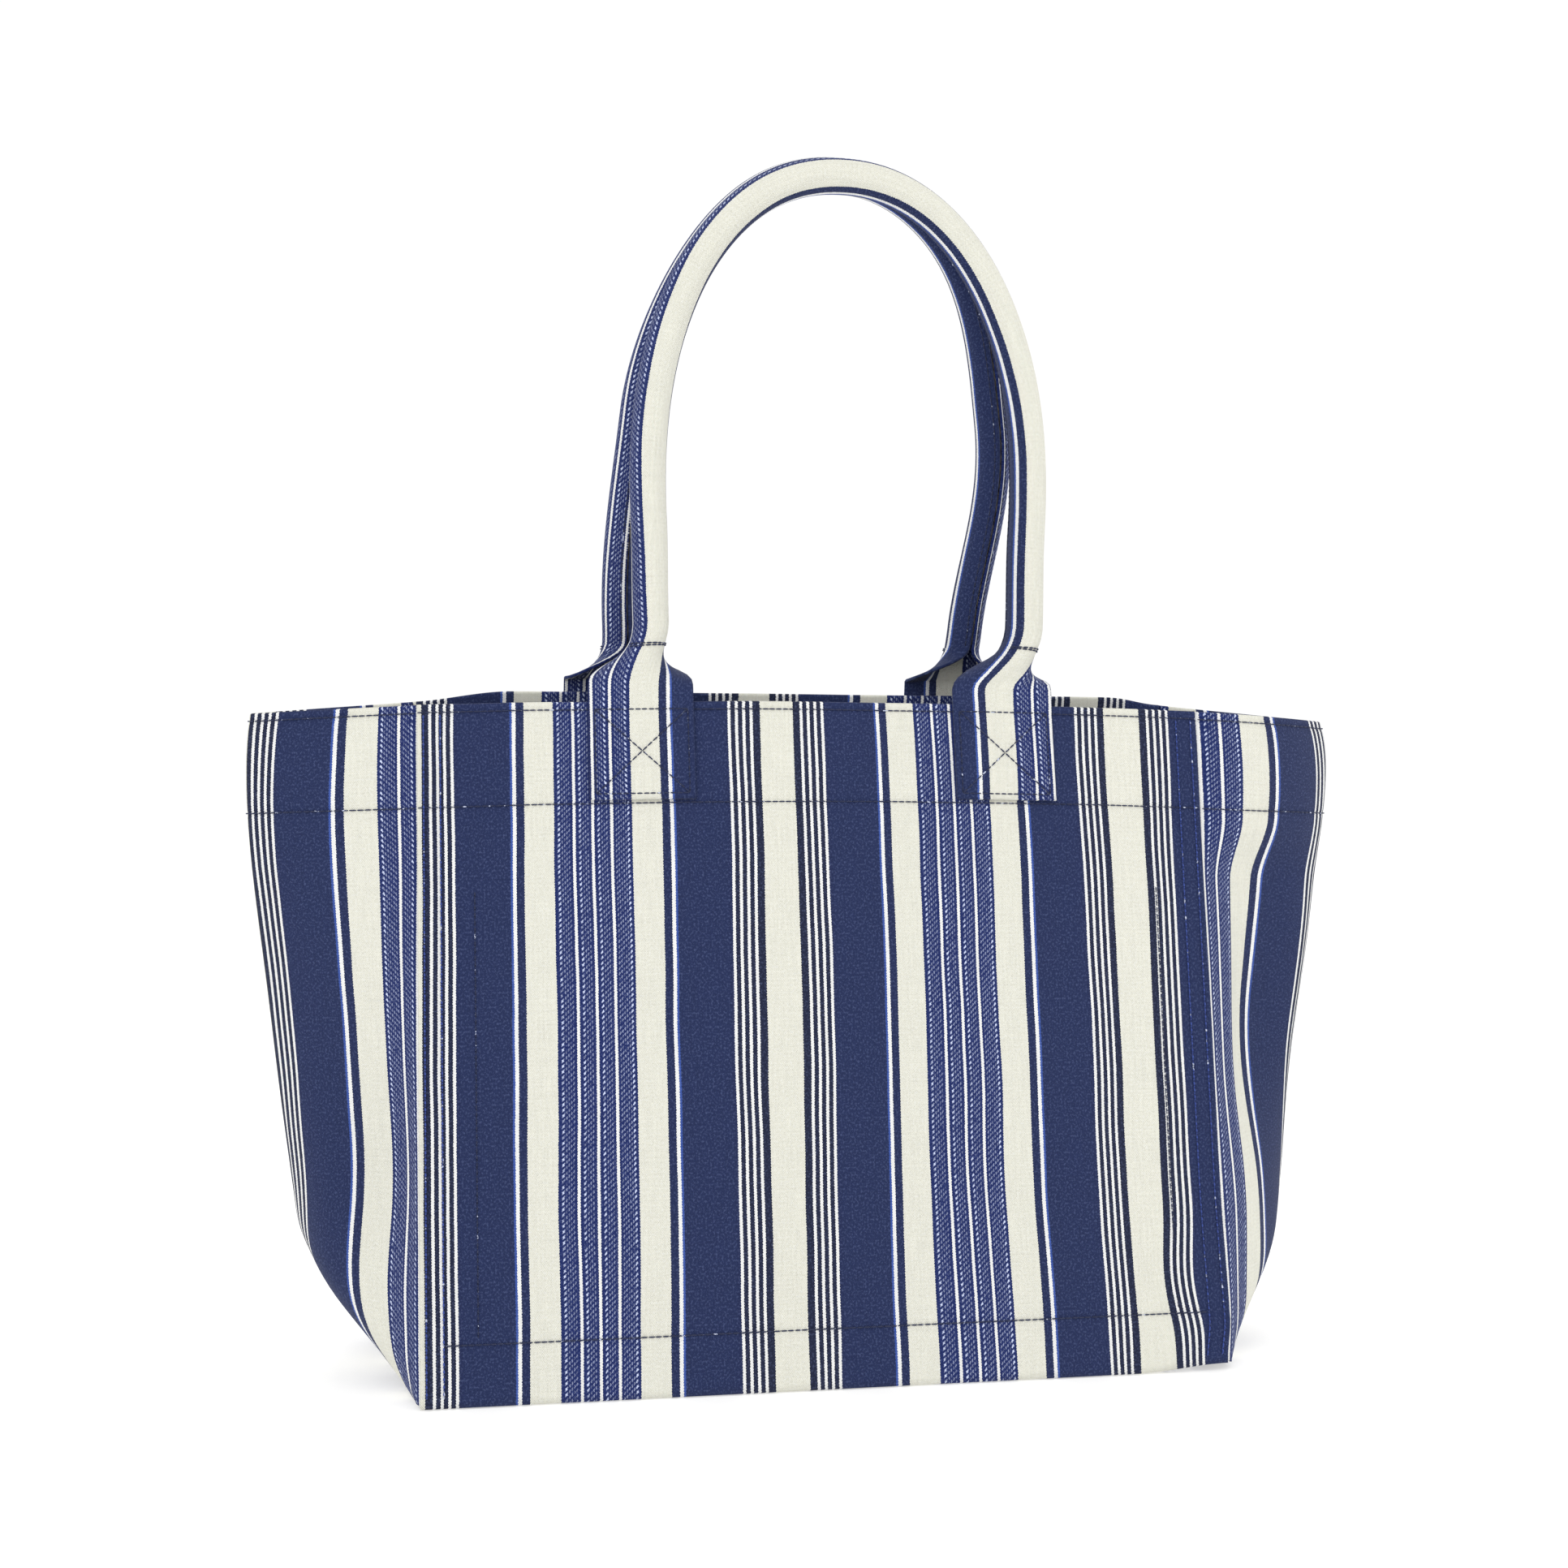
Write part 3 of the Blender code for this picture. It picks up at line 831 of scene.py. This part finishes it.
def dot_strength(g, across, along, strength):
    """The slanting columns of light dots in the blue groups, from 0 to 1."""
    width = DOTS[-1][0]
    inside = g.math("SUBTRACT", g.math("FLOORED_MODULO", across, 2 * HALF_REPEAT), GROUP_START / 1000)
    share = g.math("MULTIPLY", inside, 1000 / width, clamp=True)
    stops = [(place / width, (value, value, value, 1)) for place, value in DOTS]
    profile = fill_ramp(g, share, stops, "LINEAR")
    columns = g.math("SUBTRACT", g.math("MULTIPLY", inside, 1 / DOT_COLUMN), DOT_START)
    slant = g.math("MULTIPLY", along, 1 / DOT_RUNG)
    slant = g.math("SUBTRACT", slant, g.math("MULTIPLY", columns, DOT_SLANT))
    rung = g.math("COSINE", g.math("MULTIPLY", slant, 2 * pi))
    column = g.math("COSINE", g.math("MULTIPLY", columns, 2 * pi))
    wear = g.noise(scaled(g, across, along, 600, 280), 1.0)
    wear = g.math("ADD", 0.85, g.math("MULTIPLY", g.math("SUBTRACT", wear, 0.5), 4.0), clamp=True)
    small = g.math("MULTIPLY", g.math("SUBTRACT", g.math("ADD", column, rung), 0.35), 1.6, clamp=True)
    small = g.math("MULTIPLY", small, g.math("MULTIPLY", profile, strength))
    big = g.math("MULTIPLY", g.math("SUBTRACT", profile, 0.6), 3.0, clamp=True)
    big = g.math("MULTIPLY", big, g.math("MULTIPLY", g.math("ADD", rung, 0.1), 2.2, clamp=True))
    return g.math("MULTIPLY", g.math("MAXIMUM", small, big), wear, clamp=True)


def wandering(g, across, along):
    """The length across the cloth as its stripes take it.

    The warp wanders a little, and each edge between two stripes steps with the weft.
    """
    drift = g.math("SUBTRACT", g.noise(scaled(g, across, along, 14, 9), 1.0), 0.5)
    jitter = g.math("SUBTRACT", g.noise(scaled(g, across, along, 400, 700), 1.0), 0.5)
    zigzag = g.math("PINGPONG", along, WEFT / 2)
    shifted = g.math("ADD", across, g.math("MULTIPLY", drift, 0.003))
    shifted = g.math("ADD", shifted, g.math("MULTIPLY", jitter, 0.0005))
    return g.math("ADD", shifted, g.math("MULTIPLY", zigzag, 0.45))


def woven(g, across, along, colour):
    """This colour with the weave's light and shade on it, and the height of the weave.

    Each warp thread shows as a staggered row of ovals between the crossings, which lie in shade.
    """
    warp = g.math("SINE", g.math("MULTIPLY", across, 2 * pi / WARP))
    weft = g.math("SINE", g.math("MULTIPLY", along, 2 * pi / WEFT))
    crossing = g.math("MULTIPLY", warp, weft)
    slub = g.noise(scaled(g, across, along, 900, 50), 1.0, 3.0)
    pick = g.noise(scaled(g, across, along, 50, 900), 1.0, 3.0)
    fleck = g.noise(scaled(g, across, along, 1050, 880), 1.0, 1.0)
    light = g.math("MULTIPLY", g.math("SUBTRACT", fleck, 0.50), 4.5, clamp=True)
    colour = g.mix(g.math("MULTIPLY", light, 0.11), colour, FLECK)
    shade = g.math("ADD", 0.96, g.math("MULTIPLY", crossing, 0.09))
    for part, strength in ((slub, 0.20), (pick, 0.16), (fleck, 0.36)):
        shade = g.math("ADD", shade, g.math("MULTIPLY", g.math("SUBTRACT", part, 0.5), strength))
    colour = g.mix(1.0, colour, g.vector(shade, shade, shade), "MULTIPLY")
    height = g.math("ADD", crossing, g.math("MULTIPLY", g.math("ADD", slub, pick), 0.8))
    return colour, height


def canvas_material(name, small_dots):
    """Striped plain-weave canvas. The stripes lie along the warp, the second UV length."""
    g = Graph(name)
    uv = g.node("ShaderNodeUVMap", uv_map="cloth").outputs[0]
    split = g.node("ShaderNodeSeparateXYZ", {"Vector": uv})
    across, along = split.outputs["X"], split.outputs["Y"]
    shifted = wandering(g, across, along)
    folded = g.math("PINGPONG", shifted, HALF_REPEAT)
    colour = stripe_colours(g, g.math("DIVIDE", folded, HALF_REPEAT))
    colour = g.mix(dot_strength(g, shifted, along, small_dots), colour, DOT)
    colour, height = woven(g, across, along, colour)
    g.surface(Base_Color=colour, Roughness=0.92, Specular_IOR_Level=0.2)
    g.surface(Sheen_Weight=0.08, Sheen_Roughness=0.5)
    g.bump(height, 0.00015, 0.7)
    return g.material


def thread_material(name, dark, light):
    """Thick thread, mottled dark and light, with pale specks of fluff."""
    g = Graph(name)
    place = g.node("ShaderNodeTexCoord").outputs["Object"]
    plies = g.noise(place, 900.0, 2.0)
    colour = g.mix(g.math("MULTIPLY", plies, 0.7), dark, light)
    fluff = g.math("GREATER_THAN", g.noise(place, 330.0, 1.0), 0.68)
    colour = g.mix(fluff, colour, FLUFF)
    g.surface(Base_Color=colour, Roughness=0.6, Sheen_Weight=0.1, Specular_IOR_Level=0.35)
    g.bump(plies, 0.0001, 0.6)
    return g.material


def rope_material():
    """Undyed cotton rope."""
    g = Graph("cotton_rope")
    place = g.node("ShaderNodeTexCoord").outputs["Object"]
    waves = {"Vector": place, "Scale": 90.0, "Distortion": 2.0}
    strands = g.node("ShaderNodeTexWave", waves, bands_direction="DIAGONAL")
    grain = g.noise(place, 500.0, 3.0)
    colour = g.mix(grain, tone(206, 192, 162), tone(236, 228, 206))
    g.surface(Base_Color=colour, Roughness=0.95)
    g.bump(g.math("ADD", strands.outputs["Fac"], grain), 0.0008, 0.8)
    return g.material


def floor_material():
    """Plain pale studio floor."""
    g = Graph("pale_floor")
    place = g.node("ShaderNodeTexCoord").outputs["Object"]
    grain = g.noise(place, 3.0, 2.0)
    colour = g.mix(grain, (0.60, 0.60, 0.60, 1), (0.62, 0.62, 0.62, 1))
    g.surface(Base_Color=colour, Roughness=0.8, Specular_IOR_Level=0.1)
    g.surface(Emission_Color=(1, 0.995, 0.98, 1), Emission_Strength=0.50)
    return g.material


# Pieces -------------------------------------------------------------------------------------------


def hem_rows():
    """The lengths along a sheet from its rim, over it and down to the edge of its hem."""
    over = pi * LAP / 2
    fold = steps(PANEL_RISE, PANEL_RISE + over, over / RIM_STEPS)[1:]
    return fold + steps(PANEL_RISE + over, PANEL_RISE + over + HEM, HEM_GRID)[1:]


def make_panels(canvas):
    rows = steps(LIFT, PANEL_RISE, GRID, [*HEM_HEIGHTS.values(), BASE_ROW]) + hem_rows()
    seams = [hand * (HALF_WIDTH - row) for hand in (-1, 1) for row in SEAM_ROWS]
    columns = steps(-HALF_WIDTH, HALF_WIDTH, GRID, seams)
    cut = (HALF_WIDTH + PANEL_CUT, 0.0)
    for word, side in SIDES:
        name = f"{word}_panel_cloth"
        drift = stripe_drift if side < 0 else None
        mesh = sheet_mesh(name, partial(panel_sheet, side), columns, rows, cut, drift)
        panel = finish_piece(name, mesh, canvas, "bag", CANVAS)
        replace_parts(panel, f"{word}_panel")


def gusset_allowance(hand, across, along):
    """A gusset's seam allowances, which lie behind the panels. On the front one, across is negative."""
    over = max(-across, across - GUSSET_WIDTH)
    if over <= 0:
        return gusset_sheet(hand, across, along)
    side = -1 if across < 0 else 1
    rise = min(along, PANEL_RISE - 0.001)
    return panel_place(side, hand * (HALF_WIDTH - over), rise, -LAP)


def make_gussets(canvas):
    outer = steps(GUSSET_LIFT, PANEL_RISE, GRID, HEM_HEIGHTS.values())
    middle = GUSSET_WIDTH / 2
    columns = steps(0, middle - FOLD_REACH, GUSSET_GRID)
    columns += steps(middle - FOLD_REACH, middle + FOLD_REACH, FOLD_GRID)[1:-1]
    columns += steps(middle + FOLD_REACH, GUSSET_WIDTH, GUSSET_GRID)
    edges = ((-SEAM_ALLOWANCE, 0.0), (GUSSET_WIDTH, GUSSET_WIDTH + SEAM_ALLOWANCE))
    for word, hand in HANDS:
        name = f"{word}_gusset_cloth"
        cut = (HALF_REPEAT - GUSSET_CUTS[hand], 0.0)
        parts = [sheet_mesh(name, partial(gusset_sheet, hand), columns, outer + hem_rows(), cut)]
        for start, end in edges:
            place = partial(gusset_allowance, hand)
            parts.append(sheet_mesh(name, place, steps(start, end, GUSSET_GRID), outer, cut))
        gusset = finish_piece(name, joined(parts), canvas, "bag", CANVAS)
        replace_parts(gusset, f"{word}_gusset")


def joined(meshes):
    """The first mesh with the others added to it, and their shared edges welded."""
    bm = bmesh.new()
    for mesh in meshes:
        bm.from_mesh(mesh)
    bmesh.ops.remove_doubles(bm, verts=bm.verts, dist=WELD)
    bmesh.ops.recalc_face_normals(bm, faces=bm.faces)
    bm.to_mesh(meshes[0])
    bm.free()
    for mesh in meshes[1:]:
        bpy.data.meshes.remove(mesh)
    return meshes[0]


def base_sheet(x, along):
    """The base from the top of its front turn-up, down, across and up to the top of the back one."""
    depth = BASE_DEPTH / 2 - LAP
    side = -1
    total = 2 * (BASE_TURN_UP + depth)
    if along > total / 2:
        side, along = 1, total - along
    low = CANVAS / 2
    if along < BASE_TURN_UP - BASE_BEND:
        return panel_place(side, x, BASE_TURN_UP - along, -LAP)
    y = depth - max(along - BASE_TURN_UP, 0)
    lift = BASE_BEND * smooth(1 - (along - (BASE_TURN_UP - BASE_BEND)) / (2 * BASE_BEND))
    lift += corner_lift(x) * smooth(1 - (depth - y) / 0.04)
    return Vector((x, side * y, low + lift))


def make_base(canvas):
    depth = BASE_DEPTH / 2 - LAP
    reach = HALF_WIDTH - SEAM_ALLOWANCE - BASE_INSET
    total = 2 * (BASE_TURN_UP + depth)
    bends = [BASE_TURN_UP - BASE_BEND, BASE_TURN_UP, BASE_TURN_UP + BASE_BEND]
    rows = sorted(set(steps(0, total, HEM_GRID) + bends + [total - bend for bend in bends]))
    columns = steps(-reach, reach, BASE_GRID)
    mesh = sheet_mesh("base_cloth", base_sheet, columns, rows, (HALF_WIDTH + PANEL_CUT, 0.0))
    base = finish_piece("base_cloth", mesh, canvas, "bag", CANVAS)
    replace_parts(base, "base_panel")


def make_pocket(canvas):
    rows = steps(POCKET_BOTTOM, POCKET_TOP, POCKET_GRID)
    columns = steps(-POCKET_HALF, POCKET_HALF, POCKET_GRID)
    place = partial(panel_place, -1, out=-LAP)
    mesh = sheet_mesh("pocket_cloth", place, columns, rows, (HALF_WIDTH + PANEL_CUT, 0.0))
    pocket = finish_piece("pocket_cloth", mesh, canvas, "bag", CANVAS)
    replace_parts(pocket, "inner_pocket")


def apply_modifiers(obj):
    """Makes the thickened mesh the object's own."""
    graph = bpy.context.evaluated_depsgraph_get()
    evaluated = bpy.data.meshes.new_from_object(obj.evaluated_get(graph))
    obj.modifiers.clear()
    obj.data = evaluated


def strip_surface(side, across, along, out=0.0):
    """A point of a handle strip, its lengths given in the order that sheets and stitches use."""
    return strip_place(side, along, across, out)


def strip_face(side, across, along, out):
    """The same for stitches, which are placed as if on canvas, on cloth that is thicker than canvas."""
    return strip_place(side, along, across, out + STRIP_CLOTH / 2 - CANVAS / 2)


def make_strip(word, side, canvas):
    total = strip_length()
    funnel = TAB_LENGTH + FUNNEL + 0.004
    rows = steps(0, funnel, FUNNEL_GRID)
    rows += steps(funnel, total - funnel, GRID)[1:-1]
    rows += steps(total - funnel, total, FUNNEL_GRID)
    name = f"{word}_handle_strip"
    columns = steps(-STRIP_HALF, STRIP_HALF, STRIP_GRID)
    mesh = sheet_mesh(name, partial(strip_surface, side), columns, rows)
    for corner in mesh.uv_layers["cloth"].data:
        corner.uv = (STRIP_CUT - (corner.uv[0] + STRIP_HALF), corner.uv[1])
    strip = finish_piece(name, mesh, canvas, None, STRIP_CLOTH)
    apply_modifiers(strip)
    rim = panel_place(side, 0, PANEL_RISE)
    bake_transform(strip)
    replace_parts(strip, f"{word}_handle_cover", f"{word}_left_tab", f"{word}_right_tab")


def make_rope(word, side, rope):
    """The three-strand rope inside a handle, from one bar tack to the other."""
    start = TAB_LENGTH + TACK_UP + ROPE_START
    rings = steps(start, strip_length() - start, GRID)
    corners = ROPE_CORNERS
    points = []
    for along in rings:
        middle = strip_place(side, along, 0, -TUBE)
        front = (strip_place(side, along, 0, 0) - middle).normalized()
        ahead = (strip_place(side, along + 0.001, 0, -TUBE) - middle).normalized()
        sideways = front.cross(ahead)
        for k in range(corners):
            angle = 2 * pi * k / corners
            groove = abs(sin(1.5 * (angle - along / ROPE_LAY * 2 * pi / 3)))
            radius = ROPE * (1 - STRAND_DEPTH * groove)
            points.append(middle + front * radius * cos(angle) + sideways * radius * sin(angle))
    faces = tube_faces(0, len(rings), corners)
    faces += [tuple(reversed(range(corners))), tuple(range(len(points) - corners, len(points)))]
    mesh = bpy.data.meshes.new(f"{word}_handle_rope")
    mesh.from_pydata(points, [], faces)
    piece = finish_piece(mesh.name, mesh, rope, f"{word}_handle")
    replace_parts(piece, f"{word}_handle_core")


def make_tack(name, side, hand, thread, body):
    """The bar tack across the foot of a handle's leg: two rows that meet at one end."""
    at = TAB_LENGTH + TACK_UP
    if hand > 0:
        at = strip_length() - at
    low, high = at - TACK_SPREAD, at + TACK_SPREAD
    rows = [((-TACK_HALF, low), (TACK_HALF, low)), ((-TACK_HALF, high), (TACK_HALF, at))]
    return make_rows(name, partial(strip_face, side), rows, thread, body, TACK_STITCH, TACK_THREAD)


def make_box(name, side, hand, thread):
    """The box with a cross in it that holds a tab."""
    wide, low, high = STRIP_HALF - TAB_ROW, TAB_ROW, HEM - HEM_ROW
    if hand > 0:
        low, high = strip_length() - low, strip_length() - high
    corners = ((-wide, low), (wide, low), (wide, high), (-wide, high))
    rows = [(corners[i], corners[(i + 1) % 4]) for i in range(4)]
    rows += [(corners[0], corners[2]), (corners[1], corners[3])]
    return make_rows(name, partial(strip_face, side), rows, thread)


def make_handles(canvas, thread, rope):
    start = TAB_LENGTH + FUNNEL
    for word, side in SIDES:
        body = f"{word}_handle"
        make_strip(word, side, canvas)
        make_rope(word, side, rope)
        columns = (STRIP_HALF - STRIP_ROW, -STRIP_HALF + STRIP_ROW)
        rows = [((across, start), (across, strip_length() - start)) for across in columns]
        make_rows(f"{body}_stitches", partial(strip_face, side), rows, thread, body)
        for hand_word, hand in HANDS:
            foot = f"{word}_{hand_word}"
            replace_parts(make_tack(f"{foot}_tack_stitches", side, hand, thread, body), f"{foot}_bar_tack")
            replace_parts(make_box(f"{foot}_tab_stitches", side, hand, thread), f"{foot}_box_stitch")


def make_panel_stitches(word, side, thread, seam_thread_painted_sheen):
    place = partial(panel_place, side)
    for hand_word, hand in HANDS:
        columns = [hand * (HALF_WIDTH - row) for row in SEAM_ROWS]
        rows = [((x, SEAM_HIGH), (x, SEAM_LOW)) for x in columns]
        name = f"{word}_{hand_word}_seam"
        # The seam rows take the thread whose lighter, bluer colour is a painted sheen highlight.
        piece = make_rows(f"{name}_stitches", place, rows, seam_thread_painted_sheen, radius=SEAM_THREAD)
        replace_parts(piece, f"{name}_thread")
    level_rows = [(f"{level}_hem", rise, HALF_WIDTH) for level, rise in HEM_HEIGHTS.items()]
    level_rows.append(("base", BASE_ROW, HALF_WIDTH - BASE_ROW_END))
    for row_word, rise, reach in level_rows:
        name = f"{word}_{row_word}"
        piece = make_rows(f"{name}_stitches", place, [((-reach, rise), (reach, rise))], thread)
        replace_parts(piece, f"{name}_thread")


def make_gusset_stitches(word, hand, thread):
    for level, rise in HEM_HEIGHTS.items():
        name = f"{word}_{level}_hem"
        rows = [((GUSSET_ROW_END, rise), (GUSSET_WIDTH - GUSSET_ROW_END, rise))]
        piece = make_rows(f"{name}_stitches", partial(gusset_place, hand), rows, thread)
        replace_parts(piece, f"{name}_thread")


def make_pocket_stitches(thread):
    edge = POCKET_HALF - POCKET_ROW
    rows = [
        ((-edge, POCKET_TOP), (-edge, POCKET_BOTTOM)),
        ((edge, POCKET_BOTTOM), (edge, POCKET_TOP)),
    ]
    piece = make_rows("pocket_stitches", partial(panel_place, -1), rows, thread)
    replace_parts(piece, "pocket_thread")


# Setting ------------------------------------------------------------------------------------------


def make_camera():
    back = Vector((sin(AZIMUTH) * cos(ELEVATION), -cos(AZIMUTH) * cos(ELEVATION), sin(ELEVATION)))
    camera = bpy.data.objects.new("camera", bpy.data.cameras.new("camera"))
    camera.data.lens = LENS
    camera.data.sensor_width = SENSOR
    camera.location = TARGET + back * DISTANCE
    camera.rotation_mode = "QUATERNION"
    camera.rotation_quaternion = (-back).to_track_quat("-Z", "Y") @ Quaternion((0, 0, 1), ROLL)
    bpy.context.scene.collection.objects.link(camera)
    bpy.context.scene.camera = camera


def make_light(name, position, power):
    data = bpy.data.lights.new(name, "AREA")
    data.size = LIGHT_SIZE
    data.energy = power
    light = bpy.data.objects.new(name, data)
    light.location = position
    light.rotation_mode = "QUATERNION"
    light.rotation_quaternion = (Vector(position) - LIGHT_AIM).to_track_quat("Z", "Y")
    bpy.context.scene.collection.objects.link(light)


def make_floor():
    size = FLOOR_HALF
    corners = [(-size, -size, 0), (size, -size, 0), (size, size, 0), (-size, size, 0)]
    mesh = bpy.data.meshes.new("floor")
    mesh.from_pydata(corners, [], [(0, 1, 2, 3)])
    mesh.materials.append(floor_material())
    floor = bpy.data.objects.new("floor", mesh)
    bpy.context.scene.collection.objects.link(floor)


def make_world():
    world = bpy.data.worlds.new("studio")
    world.use_nodes = True
    background = world.node_tree.nodes["Background"]
    background.inputs["Color"].default_value = (1, 1, 1, 1)
    background.inputs["Strength"].default_value = WORLD_STRENGTH
    bpy.context.scene.world = world
    bpy.context.scene.view_settings.view_transform = "Standard"


def main():
    random.seed(7)
    make_camera()
    make_floor()
    make_world()
    for name, position, power in LIGHTS:
        make_light(name, position, power)
    canvas = canvas_material("striped_canvas", 1.05)
    side_canvas = canvas_material("side_canvas", 1.0)
    thread = thread_material("navy_thread", tone(20, 26, 50), tone(46, 57, 98))
    # The seam rows use the same navy thread as the hems. Its colours here are made lighter and bluer as a
    # painted sheen highlight.
    seam_thread_painted_sheen = thread_material("seam_thread_painted_sheen", tone(28, 44, 112), tone(74, 102, 190))
    make_panels(canvas)
    make_gussets(side_canvas)
    make_base(canvas)
    make_pocket(canvas)
    make_handles(canvas, thread, rope_material())
    for word, side in SIDES:
        make_panel_stitches(word, side, thread, seam_thread_painted_sheen)
    for word, hand in HANDS:
        make_gusset_stitches(word, hand, thread)
    make_pocket_stitches(thread)


main()
